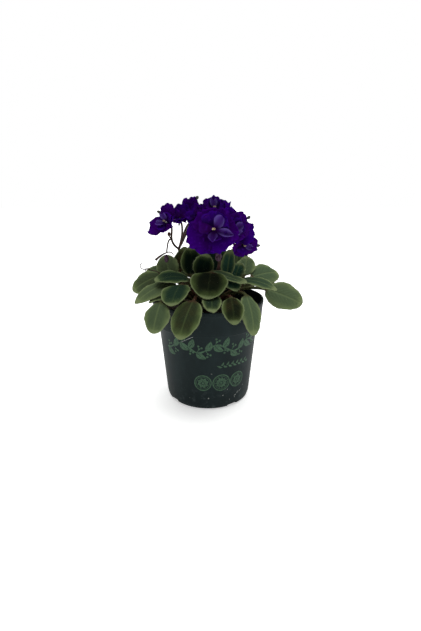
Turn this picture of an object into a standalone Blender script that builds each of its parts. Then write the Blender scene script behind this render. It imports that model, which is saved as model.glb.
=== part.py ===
"""African violet in a thin plastic nursery pot: metres, +Z up, pot axis on the origin, underside at z = 0.

The front of the plant looks along -Y. Lengths below are millimetres; mesh coordinates are metres.
"""
import math
import random

import bmesh
import bpy
import numpy as np
from mathutils import Matrix, Vector

MM = 0.001
GAP = 0.3                       # clear space between touching parts

# pot
RIM_R = 45.0                    # rim outside radius: a 9 cm nursery pot
POT_H = 84.4
BAND_Z = 65.0                   # underside of the rim band
STEP_R = 40.5                   # body radius just under the band
BASE_R = 34.9
FOOT_Z = 4.0                    # where the wall meets the rounded foot
WALL = 1.1
FLOOR = 1.5
POT_STEPS = 40
NOTCHES = 4                     # drain notches through the bottom corner
NOTCH_TURN = -54.0
NOTCH_SIZE = (9.0, 10.0, 3.2)   # along the radius, around, high

# soil and the short stem every leaf grows from
SOIL_Z = 73.0
SOIL_ROUGH = 0.8
CROWN_R = 6.0
CROWN_TOP = 95.0
CROWN_FOOT = 58.0

# leaf section: eight points round, thickest at the midrib
ACROSS = np.array([1, .55, 0, -.55, -1, -.55, 0, .55])
SIDE = np.array([0, 1, 1, 1, 0, -1, -1, -1])
PETIOLE_T = (0, .34, .68, .97)
BLADE_T = (.03, .12, .27, .45, .63, .80, .94)
PETIOLE_R = (1.55, 1.25)
BLADE_HALF = 0.85
MARGIN_WAVE = 0.5

# name: base and tip of the blade, width, roll, arch, cup, and the petiole's root on the stem: its height,
# its swing from the blade's own bearing, and the angle it leaves at
LEAVES = {
    "left_1": ((-38, 8, 100), (-61, 0, 89), 21, 35, .10, -.10, (83, 0, 30)),
    "left_2": ((-27, -6, 98.5), (-55, -26, 86), 18, 16, .08, -.10, (81, 0, 30)),
    "left_3": ((-31.5, 16, 97), (-36.5, 20, 115.2), 20, 60, 0, .10, (79, 10, 25)),
    "left_4": ((-15.5, -5, 100), (-41, -15, 101), 19, 17, .10, .05, (87, 0, 30)),
    "left_5": ((-25, -13, 91.5), (-44, -28, 87), 12, 0, .05, 0, (77, -6, 30)),
    "front_1": ((-21, -19, 98.5), (-26, -43, 89), 22, -5, .06, .10, (83, 0, 30)),
    "front_2": ((-34, -36, 89.5), (-39, -48, 70), 20, 0, .06, -.10, (77, 8, 10)),
    "front_3": ((-10, -40, 92), (-19.5, -57, 69), 24, 0, .06, 0, (93, -5, 30)),
    "front_4": ((2.2, -14, 107), (-.6, -43, 94), 28, 4, .05, .12, (85, -14, 12)),
    "front_5": ((3, -33, 94.5), (3, -53, 87.5), 14, 0, .05, 0, (81, -2, 30)),
    "front_6": ((17, -36, 93), (18.5, -56, 79.5), 16, 0, .08, 0, (77, -16, 30)),
    "front_7": ((28, -30, 93.5), (33.5, -44, 67), 17, 10, .08, -.10, (79, -10, 20)),
    "front_8": ((16.5, -8.5, 102.5), (20.5, -26, 95.5), 14, 0, .05, 0, (91, -8, 40)),
    "right_1": ((47, 0, 90.5), (75, -10, 81), 24, -45, .05, -.05, (83, 0, 30)),
    "right_2": ((36, 10.5, 98), (60, 24.5, 99), 21.5, -38, .08, 0, (75, -18, 18)),
    "right_3": ((26, -7, 99.5), (53, -17, 94), 15, -15, .10, 0, (87, 0, 30)),
    "right_4": ((3.5, -8, 107), (29, -24, 101.5), 12.5, -10, -.02, .08, (83, 0, 55)),
    "inner_1": ((15, -2, 101), (18, 5, 122), 12, 0, 0, .30, (91, 0, 30)),
    "inner_2": ((22, 5, 98), (26.5, 11, 110.5), 15, 0, 0, .10, (93, 8, 30)),
    "inner_3": ((30.2, 12.5, 99.5), (33.2, 24, 113.2), 16.5, 0, 0, 0, (87, 0, 30)),
    "inner_4": ((-6, -1, 101), (-1, -4, 120), 17, 60, 0, .10, (93, 0, 30)),
    "inner_5": ((-13.5, 3, 101), (-14, 14, 123), 17.5, 0, 0, .10, (89, -10, 30)),
    "inner_6": ((-24, 17, 102.5), (-19.5, 25, 121.5), 16, 0, 0, 0, (93, -2, 30)),
    "back_1": ((-32, 26, 98), (-54, 32, 100), 20, 20, .05, 0, (85, 0, 30)),
    "back_2": ((-32, 35, 93), (-50, 52, 80), 22, 0, .12, 0, (81, 0, 30)),
    "back_3": ((-14, 36, 97), (-20, 62, 88), 24, 0, .12, 0, (93, 0, 30)),
    "back_4": ((-2, 44, 92), (1, 60, 70), 22, 0, .12, 0, (89, 0, 30)),
    "back_5": ((12, 32, 98), (18, 58, 92), 24, 0, .12, 0, (87, 0, 30)),
    "back_6": ((28, 36, 92), (38, 58, 76), 22, 0, .12, 0, (83, 0, 30)),
    "back_7": ((44, 20, 92), (64, 40, 82), 22, -10, .10, 0, (81, 0, 30)),
    "back_8": ((4, 11.5, 98), (5.5, 26, 124), 27.5, 0, 0, 0, (92, 4, 30)),
    "back_9": ((24.5, 21, 94), (25.5, 36, 120), 22, 0, 0, 0, (90, 13, 20)),
    "back_10": ((-14, 18.2, 97), (-26.5, 34, 104.5), 17.5, 0, .05, 0, (89, -8, 30)),
}

# petals: rows outward from the throat, columns across
PETAL_T = (0, .42, .78, 1)
PETAL_W = (.25, .86, 1, .68)
PETAL_S = (-1, -.38, .38, 1)
PETAL_HALF = 0.4
THROAT_R = 1.0
HUB = (2.0, 1.6, -.5, .9)       # back radius, front radius, back, front

# name: throat, facing, lobes (bearing, length, half width), cup, ruffle,
# petaloids (bearing, length, half width, rise)
BLOOMS = {
    "front": ((4.6, -25, 140.7), (-.12, -.95, .27),
              ((210, 21.5, 13), (290, 17.5, 13), (342, 18.5, 10), (58, 16, 10), (132, 16.5, 11)), .05, 1.3,
              ((50, 10.5, 4, 5), (342, 15, 2.8, 4), (268, 9.5, 3.4, 4.5))),
    "top": ((5, 1.5, 153), (.05, -.6, .8),
            ((90, 13.5, 7.5), (28, 14, 7.5), (155, 10, 6), (235, 8, 5), (310, 9, 6)), .15, 1.2,
            ((100, 6, 3, 4),)),
    "middle": ((-7.3, 3.4, 148), (-.35, -.65, .67),
               ((114, 11, 6.5), (172, 6.8, 5.2), (238, 9.5, 6.5), (310, 7, 4), (30, 6, 4.5)), .3, 1.0, ()),
    "right": ((18.2, -9.5, 138.2), (.4, -.78, .45),
              ((350, 20, 10), (38, 18.5, 10), (84, 18.5, 10), (150, 10, 6), (288, 10, 8)), .05, 1.3,
              ((20, 8, 3, 4), (300, 6, 3, 4))),
    "low": ((27, -2, 127.3), (.5, -.75, -.35),
            ((342, 16, 8), (285, 11, 7), (40, 8, 5.5), (230, 10, 7), (130, 7, 5)), .1, 1.0,
            ((350, 6, 2.6, 3.5),)),
    "left": ((-32.2, 4, 143.2), (-.6, -.6, .5),
             ((106, 16, 7.5), (155, 10, 6), (206, 18, 9), (280, 9, 7.5), (345, 9, 6.5)), .2, 1.1,
             ((120, 6, 2.6, 4), (215, 7, 2.8, 4))),
    "back_left": ((-22.3, 10.5, 146), (-.2, -.6, .77),
                  ((90, 13, 7), (152, 7.5, 5.5), (236, 7, 5.2), (308, 6.5, 5), (20, 7, 6)), .4, .9, ()),
    "back": ((-14, 25, 149.6), (.1, .55, .8),
             ((95, 14, 7), (162, 9, 6), (234, 9, 6), (306, 9, 6), (25, 8.5, 5.5)), .5, 1.0, ()),
}

# stalks: a peduncle from the stem to its fork, then a pedicel to each bloom it carries
STALKS = {
    "stalk_left": (((-2.5, 2.5, 96.2), (-6, 7, 106), (-21, 27, 104), (-25.3, 28, 119.8)),
                   ("left", "back_left", "back", "middle")),
    "stalk_centre": (((0, -2.8, 96.2), (8, -3, 103), (11, -4, 112), (8, -6, 127)), ("front", "top")),
    "stalk_right": (((3, 1.5, 96.2), (9, 7, 103), (21, 11, 112), (21.5, 7, 122)), ("right", "low")),
}
PEDUNCLE_R = (1.5, 1.2)
PEDICEL_R = (.95, .8)
SPENT_BLOOM = ((8, -7.6, 118.5), (-.1, -.2, -1), 2.9, 7.5)   # shrivelled against the centre stalk, as for BUD
# middle control points of the pedicels that swing wide before they turn up
BENDS = {
    "left": ((-36, 24, 126.5), (-25.5, 10, 138)),
    "back_left": ((-22, 28, 128), (-20.5, 22, 137)),
    "back": ((-20, 29, 128), (-15.5, 24, 138)),
    "middle": ((-18.5, 25, 131.5), (-20.5, 12, 144)),
}
CALYX = ((-3.8, .9), (-.8, 2.1))  # distance behind the throat, radius
CALYX_ROOT = 3.3                # how far behind the throat the pedicel ends
SEPAL_L, SEPAL_HALF = 5.0, 1.3
SEPAL_OUT, SEPAL_BEHIND, SEPAL_BEND = .8, 2.2, .9   # its root, and how far it bends back

# the spent side shoot that droops from the left stalk, and the buds on it
DROOP_FROM = 0.35               # how far up the left bloom's pedicel it starts
DROOP = ((-33, 18, 129.5), (-32.4, 9, 126.5), (-33.3, 6, 119.3))
DRIED_TIP = ((-33.3, 6, 119.3), (-36, 6, 118.5), (-39, 6, 116.5), (-42.4, 6, 113.4))
CURL = ((-33.3, 6, 119.3), (-31.5, 6, 120.4), (-29, 6, 120), (-27.8, 6, 117.6))
SMALL_BUD = ((-31.8, 15, 133), 1.3, 3.6)
BUD = ((-33.5, 5.3, 114.7), (0, -.1, 1), 1.9, 6.6)   # centre, direction, radius, length

# blooms whose pollen sacs show, and one sac: radius, length, how far forward and how far aside
ANTHERS = ("front", "right", "top", "left", "low")
SAC_R, SAC_L, SAC_FORWARD, SAC_ASIDE = .85, 2.3, 1.9, .55
FILAMENT_R = .45


def unit(v):
    v = np.asarray(v, float)
    return v / np.linalg.norm(v)


def bezier(p, t):
    p = [np.asarray(q, float) for q in p]
    t = np.atleast_1d(t)[:, None]
    return (1 - t)**3 * p[0] + 3 * (1 - t)**2 * t * p[1] + 3 * (1 - t) * t * t * p[2] + t**3 * p[3]


def bezier_slope(p, t):
    p = [np.asarray(q, float) for q in p]
    t = np.atleast_1d(t)[:, None]
    return 3 * (1 - t)**2 * (p[1] - p[0]) + 6 * (1 - t) * t * (p[2] - p[1]) + 3 * t * t * (p[3] - p[2])


def clear_scene():
    for ob in list(bpy.data.objects):
        bpy.data.objects.remove(ob)


def collection(name):
    group = bpy.data.collections.new(name)
    bpy.context.scene.collection.children.link(group)
    return group


def material(name, rgb, roughness):
    mat = bpy.data.materials.new(name)
    mat.use_nodes = True
    shader = mat.node_tree.nodes["Principled BSDF"]
    shader.inputs["Base Color"].default_value = (*rgb, 1)
    shader.inputs["Roughness"].default_value = roughness
    return mat


def add_mesh(name, points, faces, mat=None, smooth=True):
    """A mesh object from millimetre points, its faces all turned outward."""
    mesh = bpy.data.meshes.new(name)
    mesh.from_pydata((np.asarray(points) * MM).tolist(), [], faces)
    if signed_volume(mesh) < 0:
        mesh.flip_normals()
    if smooth:
        mesh.polygons.foreach_set("use_smooth", [True] * len(mesh.polygons))
    if mat:
        mesh.materials.append(mat)
    ob = bpy.data.objects.new(name, mesh)
    plant.objects.link(ob)
    return ob


def signed_volume(mesh):
    mesh.calc_loop_triangles()
    total = 0.0
    for tri in mesh.loop_triangles:
        a, b, c = (mesh.vertices[i].co for i in tri.vertices)
        total += a.dot(b.cross(c))
    return total


def bake(ob):
    """Turn an object's modifiers into plain mesh."""
    mesh = bpy.data.meshes.new_from_object(ob.evaluated_get(bpy.context.evaluated_depsgraph_get()))
    ob.modifiers.clear()
    ob.data = mesh
    return ob


def revolve(name, profile, steps, mat, baked=False):
    """Screw a profile of (radius, height) that starts and ends on the axis."""
    mesh = bpy.data.meshes.new(name)
    edges = [(i, i + 1) for i in range(len(profile) - 1)]
    mesh.from_pydata([(r * MM, 0, z * MM) for r, z in profile], edges, [])
    mesh.materials.append(mat)
    ob = bpy.data.objects.new(name, mesh)
    plant.objects.link(ob)
    screw = ob.modifiers.new("Screw", "SCREW")
    screw.steps = screw.render_steps = steps
    screw.use_merge_vertices = True
    screw.merge_threshold = 0.00005
    screw.use_smooth_shade = True
    return bake(ob) if baked else ob


def loft(name, rings, start, end, mat=None):
    """Skin equal rings and close both ends with a fan."""
    n = len(rings[0])
    points = np.concatenate([np.concatenate(rings), [start, end]])
    faces = []
    for k in range(len(rings) - 1):
        for i in range(n):
            a, b = k * n + i, k * n + (i + 1) % n
            faces += [(a, b, b + n), (a, b + n, a + n)]
    first, last = len(points) - 2, len(points) - 1
    top = (len(rings) - 1) * n
    for i in range(n):
        j = (i + 1) % n
        faces += [(first, j, i), (last, top + i, top + j)]
    return add_mesh(name, points, faces, mat)


def stem(name, path, radii, sides=6, spread=6):
    """A tapering round stem along four Bezier control points: a bevelled curve, made a mesh."""
    curve = bpy.data.curves.new(name, "CURVE")
    curve.dimensions = "3D"
    curve.bevel_depth = MM
    curve.bevel_resolution = (sides - 4) // 2
    curve.resolution_u = spread
    curve.use_fill_caps = True
    line = curve.splines.new("BEZIER")
    line.bezier_points.add(1)
    a, b, c, d = (Vector(p) * MM for p in path)
    for point, at, before, after, radius in ((line.bezier_points[0], a, a + a - b, b, radii[0]),
                                             (line.bezier_points[1], d, c, d + d - c, radii[1])):
        point.co, point.handle_left, point.handle_right, point.radius = at, before, after, radius
    guide = bpy.data.objects.new(name, curve)
    plant.objects.link(guide)
    mesh = bpy.data.meshes.new_from_object(guide.evaluated_get(bpy.context.evaluated_depsgraph_get()))
    bpy.data.objects.remove(guide)
    bm = bmesh.new()
    bm.from_mesh(mesh)
    bmesh.ops.remove_doubles(bm, verts=bm.verts, dist=.000001)
    bmesh.ops.recalc_face_normals(bm, faces=bm.faces)
    return finish(name, bm)


def finish(name, bm, mat=None):
    """Give a bmesh its object."""
    mesh = bpy.data.meshes.new(name)
    bm.to_mesh(mesh)
    bm.free()
    mesh.polygons.foreach_set("use_smooth", [True] * len(mesh.polygons))
    if mat:
        mesh.materials.append(mat)
    ob = bpy.data.objects.new(name, mesh)
    plant.objects.link(ob)
    return ob


def stand(centre, along):
    """The frame of a primitive at a point in millimetres, its Z along a direction."""
    turn = Vector(unit(along)).to_track_quat("Z", "Y").to_matrix().to_4x4()
    return Matrix.Translation(Vector(centre) * MM) @ turn


def bead(name, centre, along, radius, length, mat=None, sides=8, rings=6):
    """A sphere stretched along one direction: a bud or a pollen sac."""
    bm = bmesh.new()
    shape = stand(centre, along) @ Matrix.Diagonal((radius * MM, radius * MM, length / 2 * MM, 1))
    bmesh.ops.create_uvsphere(bm, u_segments=sides, v_segments=rings, radius=1, matrix=shape)
    return finish(name, bm, mat)


def plug(name, start, end, r_start, r_end, sides=8):
    """A closed cone or cylinder between two points."""
    start, end = np.array(start, float), np.array(end, float)
    bm = bmesh.new()
    length = np.linalg.norm(end - start)
    bmesh.ops.create_cone(bm, cap_ends=True, segments=sides, radius1=r_start * MM, radius2=r_end * MM,
                          depth=length * MM, matrix=stand((start + end) / 2, end - start))
    return finish(name, bm)


def fuse(name, pieces, mat):
    """One Boolean union of a body with a collection of pieces that meet it."""
    body, rest = pieces[0], pieces[1:]
    body.name = body.data.name = name
    body.data.materials.clear()
    body.data.materials.append(mat)
    group = collection(name + "_pieces")
    for ob in rest:
        plant.objects.unlink(ob)
        group.objects.link(ob)
    union = body.modifiers.new("Union", "BOOLEAN")
    union.operation = "UNION"
    union.solver = "MANIFOLD"
    union.operand_type = "COLLECTION"
    union.collection = group
    bake(body)
    for ob in rest:
        bpy.data.objects.remove(ob)
    bpy.data.collections.remove(group)
    drop_crumbs(body)
    body.data.polygons.foreach_set("use_smooth", [True] * len(body.data.polygons))
    return body


def drop_crumbs(ob):
    """Keep the one large shell a union leaves and clear slivers cut loose inside it."""
    bm = bmesh.new()
    bm.from_mesh(ob.data)
    left, shells = set(bm.verts), []
    while left:
        shell, reach = set(), [left.pop()]
        while reach:
            v = reach.pop()
            shell.add(v)
            near = {e.other_vert(v) for e in v.link_edges} & left
            left -= near
            reach += near
        shells.append(shell)
    shells.sort(key=len)
    for shell in shells[:-1]:
        bmesh.ops.delete(bm, geom=list(shell), context="VERTS")
    bm.to_mesh(ob.data)
    bm.free()


def wall_radius(z):
    """Outside radius of the tapering wall."""
    return BASE_R + (STEP_R - BASE_R) * (z - FOOT_Z) / (BAND_Z - FOOT_Z)


def build_pot(mat):
    inner = [(0, FLOOR), (31.5, FLOOR), (BASE_R - WALL - .6, FLOOR + .5), (BASE_R - WALL, 5)]
    inner += [(wall_radius(z) - WALL, z) for z in (35, BAND_Z - .4)]
    rim = RIM_R - WALL
    inner += [(rim - 1.3, BAND_Z + 1.6), (rim - .4, POT_H - .5), (rim + .05, POT_H)]
    outer = [(RIM_R - .35, POT_H), (RIM_R, POT_H - .6), (RIM_R - .1, POT_H - 3), (RIM_R - 1.5, BAND_Z + .4),
             (RIM_R - 1.9, BAND_Z), (STEP_R, BAND_Z - .6)]
    outer += [(wall_radius(z), z) for z in (35, 7)]
    outer += [(BASE_R - .1, FOOT_Z), (BASE_R - .8, 1.7), (BASE_R - 2.3, .35), (BASE_R - 4, 0), (0, 0)]
    pot = revolve("pot", inner + outer, POT_STEPS, mat)
    cutters = collection("cutters")
    long, wide, high = (v * MM for v in NOTCH_SIZE)
    for k in range(NOTCHES):
        a = math.radians(NOTCH_TURN + 360 / NOTCHES * k)
        reach = (BASE_R - 4) * MM + long / 2
        place = (reach * math.cos(a), reach * math.sin(a), high / 2 - .001)
        bpy.ops.mesh.primitive_cube_add(size=1, location=place, rotation=(0, 0, a))
        cutter = bpy.context.object
        cutter.name = f"notch_{k + 1}"
        cutter.scale = (long, wide, high + .002)
        cutter.users_collection[0].objects.unlink(cutter)
        cutters.objects.link(cutter)
        cutter.hide_render = True
        cutter.display_type = "WIRE"
    cut = pot.modifiers.new("Notches", "BOOLEAN")
    cut.operation = "DIFFERENCE"
    cut.solver = "EXACT"
    cut.operand_type = "COLLECTION"
    cut.collection = cutters
    return pot


def build_soil(mat):
    inset = WALL + GAP + .2
    side = [(BASE_R - inset - .7, FLOOR + .6), (BASE_R - inset, 5.2)]
    side += [(wall_radius(z) - inset, z) for z in (35, BAND_Z - .8)]
    side += [(RIM_R - WALL - 1.3 - GAP - .1, BAND_Z + 2.9), (RIM_R - WALL - 1.3 - GAP + .1, SOIL_Z - .8)]
    top = [(r, SOIL_Z) for r in (39, 31, 22, 13, 8)]
    hole, foot = CROWN_R + GAP, CROWN_FOOT - GAP
    profile = [(0, FLOOR + GAP), (31, FLOOR + GAP), *side, *top, (hole, SOIL_Z - .6), (hole, foot), (0, foot)]
    soil = revolve("soil", profile[::-1], 28, mat, baked=True)
    rng = random.Random(7)
    for v in soil.data.vertices:
        r = math.hypot(v.co.x, v.co.y) / MM
        if v.co.z > (SOIL_Z - .2) * MM and r < 39.5:
            v.co.z += rng.uniform(-SOIL_ROUGH, SOIL_ROUGH) * MM
    return soil


def build_crown(mat):
    profile = [(0, CROWN_TOP), (4.8, CROWN_TOP), (CROWN_R, CROWN_TOP - 1.5), (CROWN_R, SOIL_Z),
               (CROWN_R - 1, CROWN_FOOT), (0, CROWN_FOOT)]
    return revolve("crown", profile, 20, mat)


def outline(t, q=.88, k=1.8):
    """Width of a blade along its length, rounder towards the tip."""
    return (1 - abs(2 * t**q - 1)**k)**(1 / k)


def leaf_axes(base, tip, roll):
    along = unit(np.subtract(tip, base))
    up = np.array((0, 0, 1.0))
    normal = unit(up - (up @ along) * along)
    side = np.cross(along, normal)
    c, s = math.cos(math.radians(roll)), math.sin(math.radians(roll))
    return along, c * side + s * normal, c * normal - s * side


def build_leaf(name, mat):
    """A round petiole that flattens into an arched, cupped blade: one skin of eight-point sections."""
    base, tip, width, roll, arch, cup, (root_z, swing, launch) = LEAVES[name]
    base, tip = np.array(base, float), np.array(tip, float)
    along, side, normal = leaf_axes(base, tip, roll)
    length = np.linalg.norm(tip - base)
    a, b = math.atan2(base[1], base[0]) + math.radians(swing), math.radians(launch)
    out = np.array((math.cos(a), math.sin(a), 0))
    root = out * (CROWN_R + GAP) + (0, 0, root_z)
    reach = np.linalg.norm(base - root)
    leave = unit(out * math.cos(b) + np.array((0, 0, math.sin(b))))
    arrive = unit(along + 4 * arch * normal)
    path = (root, root + leave * reach * .38, base - arrive * reach * .3, base)
    centres, slopes = bezier(path, PETIOLE_T), bezier_slope(path, PETIOLE_T)
    turn = 2 * np.pi * np.arange(8) / 8
    rings = []
    for k, t in enumerate(PETIOLE_T):
        f = unit(slopes[k]) if k else out
        flat = np.cross(f, (0, 0, 1.0))
        near = unit(side - (side @ f) * f)
        flat = unit(flat) if np.linalg.norm(flat) > .1 else near
        flat = flat * (1 if flat @ side >= 0 else -1)
        s = unit(near * t + flat * (1 - t)) if k else flat
        s = unit(s - (s @ f) * f)
        r = PETIOLE_R[0] + (PETIOLE_R[1] - PETIOLE_R[0]) * t
        rings.append(centres[k] + np.outer(np.cos(turn), s) * r + np.outer(np.sin(turn), np.cross(s, f)) * r)
    for t in BLADE_T:
        w = max(width / 2 * outline(t), 1.3)
        half = BLADE_HALF * (1 - .45 * ACROSS**2) * (1.3 - .5 * t)
        centre = base + along * length * t + normal * arch * length * 4 * t * (1 - t)
        wave = MARGIN_WAVE * ACROSS**4 * np.sin(11 * t + 1.4 * ACROSS + width)
        height = cup * w * ACROSS**2 + wave + SIDE * half
        rings.append(centre + np.outer(ACROSS * w, side) + np.outer(height, normal))
    return loft("leaf_" + name, rings, rings[0].mean(0), tip, mat)


def face_axes(facing):
    face = unit(facing)
    right = unit(np.cross((0, 0, 1.0), face))
    return face, right, np.cross(face, right)


def build_petal(throat, facing, bearing, length, half_width, cup, ruffle, rise=0.0, lift=0.0):
    """A thin waved blade: the same grid twice, a wall all round, every quad split alike on both faces."""
    face, right, up = face_axes(facing)
    a = math.radians(bearing)
    out = math.cos(a) * right + math.sin(a) * up
    across = -math.sin(a) * right + math.cos(a) * up
    grid = np.zeros((len(PETAL_T), len(PETAL_S), 3))
    for i, (t, w) in enumerate(zip(PETAL_T, PETAL_W)):
        for j, s in enumerate(PETAL_S):
            r = THROAT_R + (length - THROAT_R) * t * (1 - .14 * s * s * t)
            depth = lift + rise * t + cup * length * t * t * (.6 + .4 * s * s)
            depth += ruffle * t * t * math.sin(2.6 * s + bearing)
            grid[i, j] = throat + out * r + across * w * half_width * s + face * depth
    normal = np.cross(np.gradient(grid, axis=0), np.gradient(grid, axis=1))
    normal /= np.linalg.norm(normal, axis=2, keepdims=True)
    points = np.concatenate([(grid + normal * side * PETAL_HALF).reshape(-1, 3) for side in (1, -1)])
    rows, cols = len(PETAL_T), len(PETAL_S)
    half = rows * cols
    faces = []
    for i in range(rows - 1):
        for j in range(cols - 1):
            p = i * cols + j
            q, r, s = p + 1, p + cols + 1, p + cols
            faces += [(p, q, r), (p, r, s), (p + half, r + half, q + half), (p + half, s + half, r + half)]
    number = np.arange(half).reshape(rows, cols)
    edge = [*number[0], *number[1:, -1], *number[-1, -2::-1], *number[-2:0:-1, 0]]
    for p, q in zip(edge, edge[1:] + edge[:1]):
        faces += [(p, p + half, q + half), (p, q + half, q)]
    return add_mesh("petal", points, faces)


def build_corolla(bloom, mat):
    throat, facing, lobes, cup, ruffle, petaloids = BLOOMS[bloom]
    throat = np.array(throat, float)
    face = unit(facing)
    pieces = [plug("hub", throat + face * HUB[2], throat + face * HUB[3], HUB[0], HUB[1])]
    for i, (bearing, length, half_width) in enumerate(lobes):
        lift = .25 * (i % 2)
        pieces.append(build_petal(throat, facing, bearing, length, half_width, cup, ruffle, lift=lift))
    for bearing, length, half_width, rise in petaloids:
        pieces.append(build_petal(throat, facing, bearing, length, half_width, .1, .4, rise=rise, lift=.3))
    return fuse("corolla_" + bloom, pieces, mat)


def build_calyx(throat, facing):
    """A little cup behind the petals with five pointed sepals lying against them."""
    face, right, up = face_axes(facing)
    (low, r_low), (high, r_high) = CALYX
    pieces = [plug("cup", throat + face * low, throat + face * high, r_low, r_high, sides=7)]
    for k in range(5):
        a = math.radians(54 + 72 * k)
        out = math.cos(a) * right + math.sin(a) * up
        across = -math.sin(a) * right + math.cos(a) * up
        root, reach = throat + out * SEPAL_OUT - face * SEPAL_BEHIND, out * SEPAL_L - face * SEPAL_BEND
        rings = []
        for t, w in ((0, .7), (.6, 1)):
            flat, thick = np.outer((1, 0, -1, 0), across), np.outer((0, 1, 0, -1), face)
            rings.append(root + reach * t + flat * SEPAL_HALF * w + thick * (.5 - .12 * t))
        pieces.append(loft("sepal", rings, root, root + reach))
    return pieces


def build_stalk(name, mat):
    path, blooms = STALKS[name]
    fork = np.array(path[-1], float)
    rise = unit(bezier_slope(path, 1.0)[0])
    pieces = [stem("peduncle", path, PEDUNCLE_R, spread=8)]
    for bloom in blooms:
        throat, facing = (np.array(v, float) for v in BLOOMS[bloom][:2])
        face = unit(facing)
        end = throat - face * CALYX_ROOT
        reach = np.linalg.norm(end - fork)
        middle = BENDS.get(bloom, (fork + rise * reach * .4, end - face * reach * .35))
        bend = (fork - rise * .6, *middle, end)
        pieces.append(stem("pedicel", bend, PEDICEL_R, spread=5))
        pieces += build_calyx(throat, facing)
        if bloom == "left":
            pieces += build_droop(bezier(bend, DROOP_FROM)[0])
    if name == "stalk_centre":
        pieces.append(bead("spent_bloom", *SPENT_BLOOM))
    return fuse(name, pieces, mat)


def build_droop(start):
    """A thin spent shoot with a dried tip, a curl and one brown bud."""
    pieces = [stem("droop", (start, *DROOP), (.7, .55), spread=5), stem("dried_tip", DRIED_TIP, (.5, .9), spread=4),
              stem("curl", CURL, (.5, .4), spread=4)]
    centre, radius, length = SMALL_BUD
    pieces.append(bead("small_bud", centre, (0, 0, 1), radius, length, sides=6, rings=5))
    low = np.array(centre) - (0, 0, length / 2)
    neck = (low + (0, 0, .8), low - (0, 0, .6), start + (-.5, -.5, 1.5), start)
    pieces.append(stem("bud_neck", neck, (.5, .5), spread=3))
    return pieces


def build_anthers(name, mat):
    """Two plump pollen sacs side by side on a short filament."""
    throat, facing = (np.array(v, float) for v in BLOOMS[name][:2])
    face, right, up = face_axes(facing)
    foot = throat + face * (HUB[3] + GAP)
    centre = foot + face * SAC_FORWARD
    pieces = [plug("filament", foot, centre, FILAMENT_R, FILAMENT_R, sides=6)]
    for side in (-1, 1):
        pieces.append(bead("sac", centre + right * side * SAC_ASIDE, up, SAC_R, SAC_L, sides=6, rings=5))
    return fuse("anthers_" + name, pieces, mat)


clear_scene()
plant = collection("african_violet")
plastic = material("slate_plastic", (.035, .045, .055), .45)
earth = material("soil", (.02, .014, .01), .95)
green = material("leaf_green", (.06, .13, .035), .7)
brown = material("stem_brown", (.12, .04, .035), .6)
violet = material("petal_violet", (.055, .008, .2), .6)
yellow = material("anther_yellow", (.7, .5, .06), .6)

build_pot(plastic)
build_soil(earth)
build_crown(green)
for leaf in LEAVES:
    build_leaf(leaf, green)
for stalk in STALKS:
    build_stalk(stalk, brown)
for bloom in BLOOMS:
    build_corolla(bloom, violet)
for bloom in ANTHERS:
    build_anthers(bloom, yellow)
bead("bud", *BUD, violet)
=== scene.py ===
# %% [markdown]
# # An african violet in a nursery pot
# The plant is a rosette of fleshy, hairy leaves round a short stem, with clusters of deep violet blooms
# above them on thin reddish stalks. The solid model fixes where each part is, so all that is made here
# is a finer skin over it.

# %% Load the solid model
import math
import random

import bmesh
import bpy
import numpy as np
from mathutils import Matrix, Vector, noise


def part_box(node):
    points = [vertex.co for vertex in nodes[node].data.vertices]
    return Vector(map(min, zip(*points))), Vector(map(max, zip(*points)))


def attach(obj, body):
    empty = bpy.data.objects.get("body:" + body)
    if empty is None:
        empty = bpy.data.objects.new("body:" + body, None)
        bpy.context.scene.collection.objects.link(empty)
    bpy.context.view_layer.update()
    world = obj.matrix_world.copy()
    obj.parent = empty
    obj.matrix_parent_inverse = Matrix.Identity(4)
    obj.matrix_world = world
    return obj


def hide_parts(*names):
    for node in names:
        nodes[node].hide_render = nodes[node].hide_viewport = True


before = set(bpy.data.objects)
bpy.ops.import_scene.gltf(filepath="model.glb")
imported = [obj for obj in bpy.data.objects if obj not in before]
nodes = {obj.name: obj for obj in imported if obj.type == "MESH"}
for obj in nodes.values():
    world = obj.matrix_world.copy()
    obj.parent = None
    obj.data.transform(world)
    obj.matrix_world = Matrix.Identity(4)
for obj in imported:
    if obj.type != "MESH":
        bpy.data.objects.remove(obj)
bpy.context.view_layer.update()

MM = 0.001
BODY = "root"

# %% [markdown]
# ## Handling pieces
# Blender's operators work on whatever is selected, so each step first selects what it means. Points are
# read and moved in millimetres, which suits a plant this small.

# %% Select, read and move
def only(*obs):
    """Select these objects and nothing else."""
    bpy.ops.object.select_all(action="DESELECT")
    for ob in obs:
        ob.select_set(True)
    bpy.context.view_layer.objects.active = obs[0]


def added(operator, **settings):
    """Run an operator that makes an object, and hand that object over."""
    operator(**settings)
    return bpy.context.object


def settle(ob):
    """Put an object's place, turn and size into its mesh."""
    only(ob)
    bpy.ops.object.transform_apply(location=True, rotation=True, scale=True)


def vectors_of(ob, what):
    flat = np.empty(len(ob.data.vertices) * 3)
    ob.data.vertices.foreach_get(what, flat)
    return flat.reshape(-1, 3)


def points_of(ob):
    return vectors_of(ob, "co") / MM


def end_edit():
    """Turn every face outward and leave edit mode."""
    bpy.ops.mesh.select_all(action="SELECT")
    bpy.ops.mesh.normals_make_consistent(inside=False)
    bpy.ops.object.mode_set(mode="OBJECT")


def flat_grid(columns, rows):
    """A grid from -1 to 1 both ways, and its points."""
    ob = added(bpy.ops.mesh.primitive_grid_add, x_subdivisions=columns, y_subdivisions=rows, size=2)
    return ob, vectors_of(ob, "co")


def round_ball(segments, rings):
    """A sphere of radius 1, and its points."""
    ob = added(bpy.ops.mesh.primitive_uv_sphere_add, segments=segments, ring_count=rings, radius=1)
    return ob, vectors_of(ob, "co")


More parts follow.
